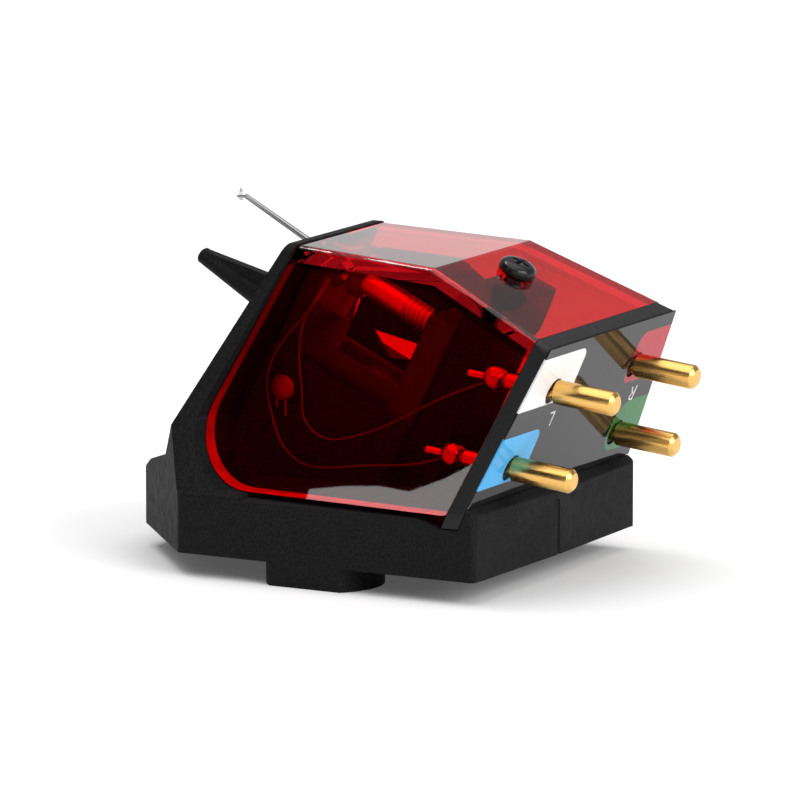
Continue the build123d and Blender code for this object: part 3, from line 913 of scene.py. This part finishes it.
def leadRoute(name):
    look = leadLook
    channel, line = name.split("_")
    side = 1 if channel == "right" else -1
    points = [poleAt(look["startAlong"], look["start"][line], side * look["startSide"])]
    points += [Vector((x, side * y, z)) * mm for x, y, z in look["routes"][line]]
    points.append(pinCrossing(name) + pinAxis(name)[1] * solderLook["offset"])
    return points


def makeLeads():
    material = plainMetal("leadCopper", leadLook)
    for name in pinMounts:
        points = leadRoute(name)
        curve = bpy.data.curves.new("coil_lead_" + name, "CURVE")
        curve.dimensions = "3D"
        spline = curve.splines.new("NURBS")
        spline.points.add(len(points) - 1)
        for point, where in zip(spline.points, points):
            point.co = (*where, 1)
        spline.order_u = 3
        spline.use_endpoint_u = True
        spline.resolution_u = 10
        curve.bevel_depth = leadLook["radius"]
        curve.bevel_resolution = 3
        curve.use_fill_caps = True
        wire = bpy.data.objects.new("coil_lead_" + name, curve)
        bpy.context.scene.collection.objects.link(wire)
        pick(wire)
        bpy.ops.object.convert(target="MESH")
        piece = added("coil_lead_" + name)
        smooth(piece, 60)
        keep(piece, "housing", "lead_copper", material, "lead_" + name)


makeLeads()

# Tie beads: a flat drop of solder on each peg of the frame, with the cut ends of two wires
tieLook = {
    "place": (0.57 * mm, 5.73 * mm),  # along the pole's axis and below it
    "pegEnd": 3.45 * mm,
    "radius": 0.66 * mm,
    "height": 0.22 * mm,
    "segments": 24,
    "rings": 12,
    "lumps": 0.03 * mm,
    "evenLumps": 0.4,
    "seed": 7,
    "wire": 0.05 * mm,
    "wireSides": 12,
    "wireTip": 0.8,  # of the wire's radius
    "stubs": [(-0.3, -0.45, 0.55), (0.16, -0.5, 0.9)],  # start across and up, length, in millimetres
    "splay": 0.1,
    "color": (0.3, 0.29, 0.28),
    "roughness": (0.45, 0.6),
    "grain": 0.12 * mm,
    "grainDepth": 0.01 * mm,
}


def tieStub(across, up, length):
    wire, end = tieLook["wire"], length * mm
    profile = [(0, wire), (0.5 * end, wire), (end, tieLook["wireTip"] * wire)]
    stub = turned("tie_stub", tieLook["wireSides"], profile)
    place(stub, Vector((across, 0, up)) * mm, Vector((tieLook["splay"] * across, 0, -1)))
    return stub


def makeTies():
    look = tieLook
    material = plainMetal("tieSolder", look)
    size = (look["radius"], look["height"], look["radius"])
    for side, name in ((-1, "tie_bead_left"), (1, "tie_bead_right")):
        bead = lumpyBead(name, look, size, look["seed"])
        piece = joinPieces([bead] + [tieStub(*stub) for stub in look["stubs"]], name)
        piece.location = poleAt(*look["place"], side * look["pegEnd"])
        settle(piece)
        smooth(piece, 60)
        keep(piece, "housing", "solder", material)


makeTies()
print("solder, coil leads and tie beads done")


# Generator: pole with its threaded tail, plates and magnet
poleLook = {
    "front": 0.97 * mm,  # along the pole's axis from the pivot
    "plain": 2.65 * mm,
    "radius": 0.62 * mm,
    "edge": 0.05 * mm,
    "groove": (0.12 * mm, 0.08 * mm),  # start and floor of the step before the thread
    "core": 0.56 * mm,
    "coreReach": 0.1 * mm,  # into the thread
    "sides": 64,
    "thread": {"root": 0.58 * mm, "crest": 0.7 * mm, "pitch": 0.27 * mm, "length": 4.0 * mm, "sides": 48},
    "color": (0.9, 0.9, 0.9),
    "roughness": (0.42, 0.52),
    "grain": 0.05 * mm,
    "stretch": {"turn": (0, -poleTilt, 0), "scale": (1, 0.05, 0.05)},
}


def makePole():
    look = poleLook
    start, end = look["front"], look["front"] + look["plain"]
    radius, edge = look["radius"], look["edge"]
    profile = [
        (start, radius - edge),
        (start + edge, radius),
        (end - look["groove"][0], radius),
        (end - look["groove"][1], radius - edge),
        (end + look["coreReach"], look["core"]),
    ]
    plain = turned("plain_pole", look["sides"], profile)
    tail = threaded("pole_thread", look["thread"])
    tail.location = (0, 0, end)
    settle(tail)
    piece = joinPieces([plain, tail], "threaded_pole")
    place(piece, pivot, poleDir)
    smooth(piece, 30)
    keep(piece, "housing", "pole_iron", plainMetal("poleSteel", look), "pole_screw")


oxideLook = {
    "edge": 0.06 * mm,
    "dark": (0.012, 0.012, 0.012),
    "light": (0.022, 0.021, 0.02),
    "roughness": (0.35, 0.5),
    "grain": 0.1 * mm,
    "grainDepth": 0.003 * mm,
    "specular": 0.4,
}
epoxyLook = dict(oxideLook, dark=(0.008, 0.008, 0.008), light=(0.014, 0.014, 0.014), roughness=(0.3, 0.42))


def makeGenerator():
    makePole()
    oxide = grainyPlastic("blackIron", oxideLook)
    epoxy = grainyPlastic("magnetCoat", epoxyLook)
    for node, name, material, slot in (
        ("front_pole", "front_pole_plate", oxide, "yoke_iron"),
        ("rear_yoke", "rear_yoke_plate", oxide, "yoke_iron"),
        ("magnet", "bar_magnet", epoxy, "magnet_epoxy"),
    ):
        piece = copyOfNode(node, name)
        roundEdges(piece, oxideLook["edge"])
        smooth(piece, weighted=True)
        keep(piece, "housing", slot, material, node)


makeGenerator()

# Damper: the pole holds its rear face; the ring is sliced across the pole's axis into layers
rubberLook = {
    "front": 0.47 * mm,  # along the pole's axis from the pivot
    "thick": 0.5 * mm,
    "edge": 0.06 * mm,
    "slices": 5,
    "dark": (0.1, 0.1, 0.1),
    "light": (0.14, 0.14, 0.14),
    "roughness": (0.6, 0.75),
    "grain": 0.05 * mm,
    "grainDepth": 0.004 * mm,
    "specular": 0.3,
}


def makeDamper():
    look = rubberLook
    piece = copyOfNode("damper", "damper_ring")
    front = pivot + poleDir * look["front"]
    rear = pivot + poleDir * (look["front"] + look["thick"])
    editAll(piece)
    for cut in range(1, look["slices"]):
        sliceAll(front.lerp(rear, cut / look["slices"]), poleDir)
    leaveEdit()
    roundEdges(piece, look["edge"])
    smooth(piece)
    piece.data.materials.append(grainyPlastic("damperRubber", look))
    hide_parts("damper")
    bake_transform(piece)


makeDamper()

# Armature: tie wire, cross-shaped former and the turns of wire on its diagonals
wireLook = {"color": (0.6, 0.6, 0.6), "roughness": (0.2, 0.35), "grain": 0.1 * mm}
formerLook = {"edge": 0.02 * mm, "color": (0.4, 0.4, 0.4), "roughness": (0.35, 0.5), "grain": 0.1 * mm}
coilLook = {
    "ring": 0.225 * mm,
    "wire": 0.034 * mm,
    "sides": (32, 8),  # round the turn, and round the wire
    "turns": 5,
    "start": 0.38 * mm,
    "pitch": 0.065 * mm,
    "diagonals": {"left": math.radians(45), "right": math.radians(-45)},
    "color": (0.72, 0.33, 0.16),
    "roughness": (0.22, 0.38),
    "grain": 0.05 * mm,
}


def makeFormer():
    piece = copyOfNode("coil_former", "cross_former")
    roundEdges(piece, formerLook["edge"])
    smooth(piece, weighted=True)
    keep(piece, "armature", "former_iron", plainMetal("formerIron", formerLook), "coil_former")


def coilTurn(middle, axis):
    sides = coilLook["sides"]
    deselect()
    bpy.ops.mesh.primitive_torus_add(
        major_radius=coilLook["ring"],
        minor_radius=coilLook["wire"],
        major_segments=sides[0],
        minor_segments=sides[1],
    )
    ring = added("winding")
    place(ring, middle, axis)
    return ring


def makeCoils():
    look = coilLook
    copper = plainMetal("coilCopper", look)
    across = Vector((0, 1, 0))
    upright = forward.cross(across)
    for channel, turn in look["diagonals"].items():
        diagonal = across * math.cos(turn) + upright * math.sin(turn)
        rings = []
        for end in (-1, 1):
            for count in range(look["turns"]):
                distance = look["start"] + count * look["pitch"]
                rings.append(coilTurn(pivot + diagonal * end * distance, diagonal))
        piece = joinPieces(rings, "coil_winding_" + channel)
        smooth(piece, 60)
        keep(piece, "armature", "coil_copper", copper, "coil_" + channel)


dressNode("suspension_wire", plainMetal("tieWire", wireLook))
makeFormer()
makeCoils()
print("generator and armature done")

# Cantilever and stylus
cantileverLook = {
    "color": (0.32, 0.32, 0.33),
    "edgeTint": (0.15, 0.15, 0.15),  # dark at the tube's outline, where a bright surround would show
    "roughness": (0.24, 0.28),
    "grain": 0.08 * mm,
    "stretch": {"turn": (0, wallLean, 0), "scale": (0.04, 1, 1)},
}
diamondLook = {
    "dark": (0.75, 0.75, 0.76),
    "light": (0.9, 0.9, 0.92),
    "roughness": 0.04,
    "clear": 0.6,
    "ior": 2.4,
    "tint": 0.1 * mm,
}


def makeCantilever():
    piece = copyOfNode("cantilever", "cantilever_tube")
    smooth(piece, 40)
    material = plainMetal("drawnAluminium", cantileverLook)
    shader = material.node_tree.nodes["Principled BSDF"]
    shader.inputs["Specular Tint"].default_value = (*cantileverLook["edgeTint"], 1)
    keep(piece, "armature", "cantilever_aluminium", material, "cantilever")


def dressStylus():
    look = diamondLook
    material, nodes, links, shader = startMaterial("diamondTip", look["light"], look["roughness"])
    shader.inputs["Transmission Weight"].default_value = look["clear"]
    shader.inputs["IOR"].default_value = look["ior"]
    twoTones(nodes, links, shader, noiseOf(nodes, links, look["tint"]), look["dark"], look["light"])
    dressNode("stylus", material)


makeCantilever()
dressStylus()
print("cantilever and stylus done")


# Stage: pale floor, white surround, three lamps, and two cards that only reflections show
stageLook = {
    "floorSize": 4.0,
    "floorDrop": 0.01 * mm,
    "floorColor": (0.83, 0.83, 0.83),
    "floorRoughness": 0.9,
    "floorGlow": (0.08, 0.2),  # beside the object, and away from its shadow; the weaker glow beside the object paints a wider shadow round it
    "glowRadii": (12 * mm, 24 * mm),
    "surroundTop": 0.7,
    "surroundLow": 0.12,
    "surroundHeights": (0.3, 1),  # from the low strength to the top one
    "mirrored": (0.14, 0.42),  # the backdrop ends between these heights, seen in mirrors
    "lamps": {
        "softbox": {"size": (0.5, 0.8), "place": (0.0, -0.1, 0.5), "power": 1.6},
        "edgeStrip": {"size": (0.06, 0.16), "place": (-0.243, 0.018, 0.45), "power": 0.4},
        "sideBox": {"size": (0.4, 0.3), "place": (0.43, -0.12, 0.26), "power": 1.8, "facesObject": True},
    },
    "cardAway": (-0.638, -0.77, 0.0),  # where the cover's left side is mirrored
    "cardDistance": 0.3,
    "cardGap": 0.01,  # from the pale card back to the dark one
    "darkSize": (0.5, 0.36),
    "darkColor": (0.004, 0.004, 0.004),
    "darkStrength": 1.0,
    "paleColor": (1, 1, 1),
    "paleStrength": 5.0,
    # outline of the pale card, across and up, in millimetres
    "paleOutline": [
        (2.4, 60), (2.4, 79.8), (5.3, 81), (8.2, 81.9), (10.8, 82.2), (13.4, 84.2),
        (16, 86.8), (40, 105), (40, 60),
    ],
}


def seenRays(nodes, links):
    # 1 for what the camera sees, straight, mirrored or through the cover
    path = nodes.new("ShaderNodeLightPath")
    seen = mathNode(nodes, links, "MAXIMUM", path.outputs["Is Camera Ray"], path.outputs["Is Glossy Ray"])
    return mathNode(nodes, links, "MAXIMUM", seen, path.outputs["Is Transmission Ray"])


def makeFloor():
    look = stageLook
    deselect()
    bpy.ops.mesh.primitive_plane_add(size=look["floorSize"], location=(0, 0, -look["floorDrop"]))
    floor = added("floor")
    material, nodes, links, shader = startMaterial("paleFloor", look["floorColor"], look["floorRoughness"])
    shader.inputs["Specular IOR Level"].default_value = 0.0
    # painted shadow: the floor's glow grows from the weaker to the full strength between the two radii, so the
    # floor is darker round the object
    away = nodes.new("ShaderNodeVectorMath")
    away.operation = "LENGTH"
    links.new(nodes.new("ShaderNodeTexCoord").outputs["Object"], away.inputs[0])
    glow = rangeOf(nodes, links, away.outputs["Value"], look["glowRadii"], look["floorGlow"])
    glow = mathNode(nodes, links, "MULTIPLY", seenRays(nodes, links), glow)
    shader.inputs["Emission Color"].default_value = (1, 1, 1, 1)
    links.new(glow, shader.inputs["Emission Strength"])
    floor.data.materials.append(material)


def makeSurround():
    look = stageLook
    world = bpy.data.worlds.new("surround")
    bpy.context.scene.world = world
    world.use_nodes = True
    nodes, links = world.node_tree.nodes, world.node_tree.links
    background = nodes["Background"]
    background.inputs["Color"].default_value = (1, 1, 1, 1)
    split = nodes.new("ShaderNodeSeparateXYZ")
    links.new(nodes.new("ShaderNodeTexCoord").outputs["Generated"], split.inputs["Vector"])
    height = split.outputs["Z"]
    strengths = (look["surroundLow"], look["surroundTop"])
    light = rangeOf(nodes, links, height, look["surroundHeights"], strengths)
    path = nodes.new("ShaderNodeLightPath")
    backdrop = rangeOf(nodes, links, height, look["mirrored"], (1, 0))
    mirrored = mathNode(nodes, links, "MULTIPLY", path.outputs["Is Glossy Ray"], backdrop)
    straight, through = path.outputs["Is Camera Ray"], path.outputs["Is Transmission Ray"]
    seen = mathNode(nodes, links, "MAXIMUM", straight, through)
    brightest = mathNode(nodes, links, "MAXIMUM", mirrored, light)
    links.new(mathNode(nodes, links, "MAXIMUM", seen, brightest), background.inputs["Strength"])


def makeLamps():
    for name, look in stageLook["lamps"].items():
        lamp = bpy.data.lights.new(name, "AREA")
        lamp.shape = "RECTANGLE"
        lamp.size, lamp.size_y = look["size"]
        lamp.energy = look["power"]
        holder = bpy.data.objects.new(name, lamp)
        bpy.context.scene.collection.objects.link(holder)
        holder.location = look["place"]
        if look.get("facesObject"):
            holder.rotation_euler = holder.location.to_track_quat("Z", "Y").to_euler()


def makeCard(name, outline, distance, color, strength):
    # upright card in front of the cover's left side
    away = Vector(stageLook["cardAway"]).normalized()
    across = Vector((-away.y, away.x, 0))
    deselect()
    bpy.ops.mesh.primitive_circle_add(vertices=len(outline), radius=1, fill_type="NGON")
    card = added(name)
    for corner, (side, height) in zip(card.data.vertices, outline):
        corner.co = away * distance + across * side * mm + Vector((0, 0, height * mm))
    material = bpy.data.materials.new(name)
    material.use_nodes = True
    nodes, links = material.node_tree.nodes, material.node_tree.links
    glow = nodes.new("ShaderNodeEmission")
    glow.inputs["Color"].default_value = (*color, 1)
    glow.inputs["Strength"].default_value = strength
    links.new(glow.outputs["Emission"], nodes["Material Output"].inputs["Surface"])
    card.data.materials.append(material)
    card.visible_camera = card.visible_diffuse = card.visible_shadow = card.visible_transmission = False


def makeCards():
    look = stageLook
    half, top = look["darkSize"][0] / 2 / mm, look["darkSize"][1] / mm
    wide = [(-half, 0), (-half, top), (half, top), (half, 0)]
    near = look["cardDistance"]
    makeCard("dark_card", wide, near + look["cardGap"], look["darkColor"], look["darkStrength"])
    makeCard("pale_card", look["paleOutline"], near, look["paleColor"], look["paleStrength"])


cameraLook = {
    "azimuth": math.radians(28.58),
    "elevation": math.radians(9.97),
    "distance": 387.1 * mm,
    "lens": 354.4,
    "sensor": 36,
    "nearest": 0.01,
    "target": Vector((0.659, 0, 8.044)) * mm,
}


def makeCamera():
    look = cameraLook
    turn, rise = look["azimuth"], look["elevation"]
    towards = Vector((math.sin(turn) * math.cos(rise), -math.cos(turn) * math.cos(rise), math.sin(rise)))
    lens = bpy.data.cameras.new("camera")
    lens.lens = look["lens"]
    lens.sensor_width = look["sensor"]
    lens.clip_start = look["nearest"]
    holder = bpy.data.objects.new("camera", lens)
    bpy.context.scene.collection.objects.link(holder)
    holder.location = look["target"] + towards * look["distance"]
    holder.rotation_euler = towards.to_track_quat("Z", "Y").to_euler()
    bpy.context.scene.camera = holder


makeFloor()
makeSurround()
makeLamps()
makeCards()
makeCamera()
bpy.context.scene.view_settings.view_transform = "Standard"
print("stage, light and camera done")
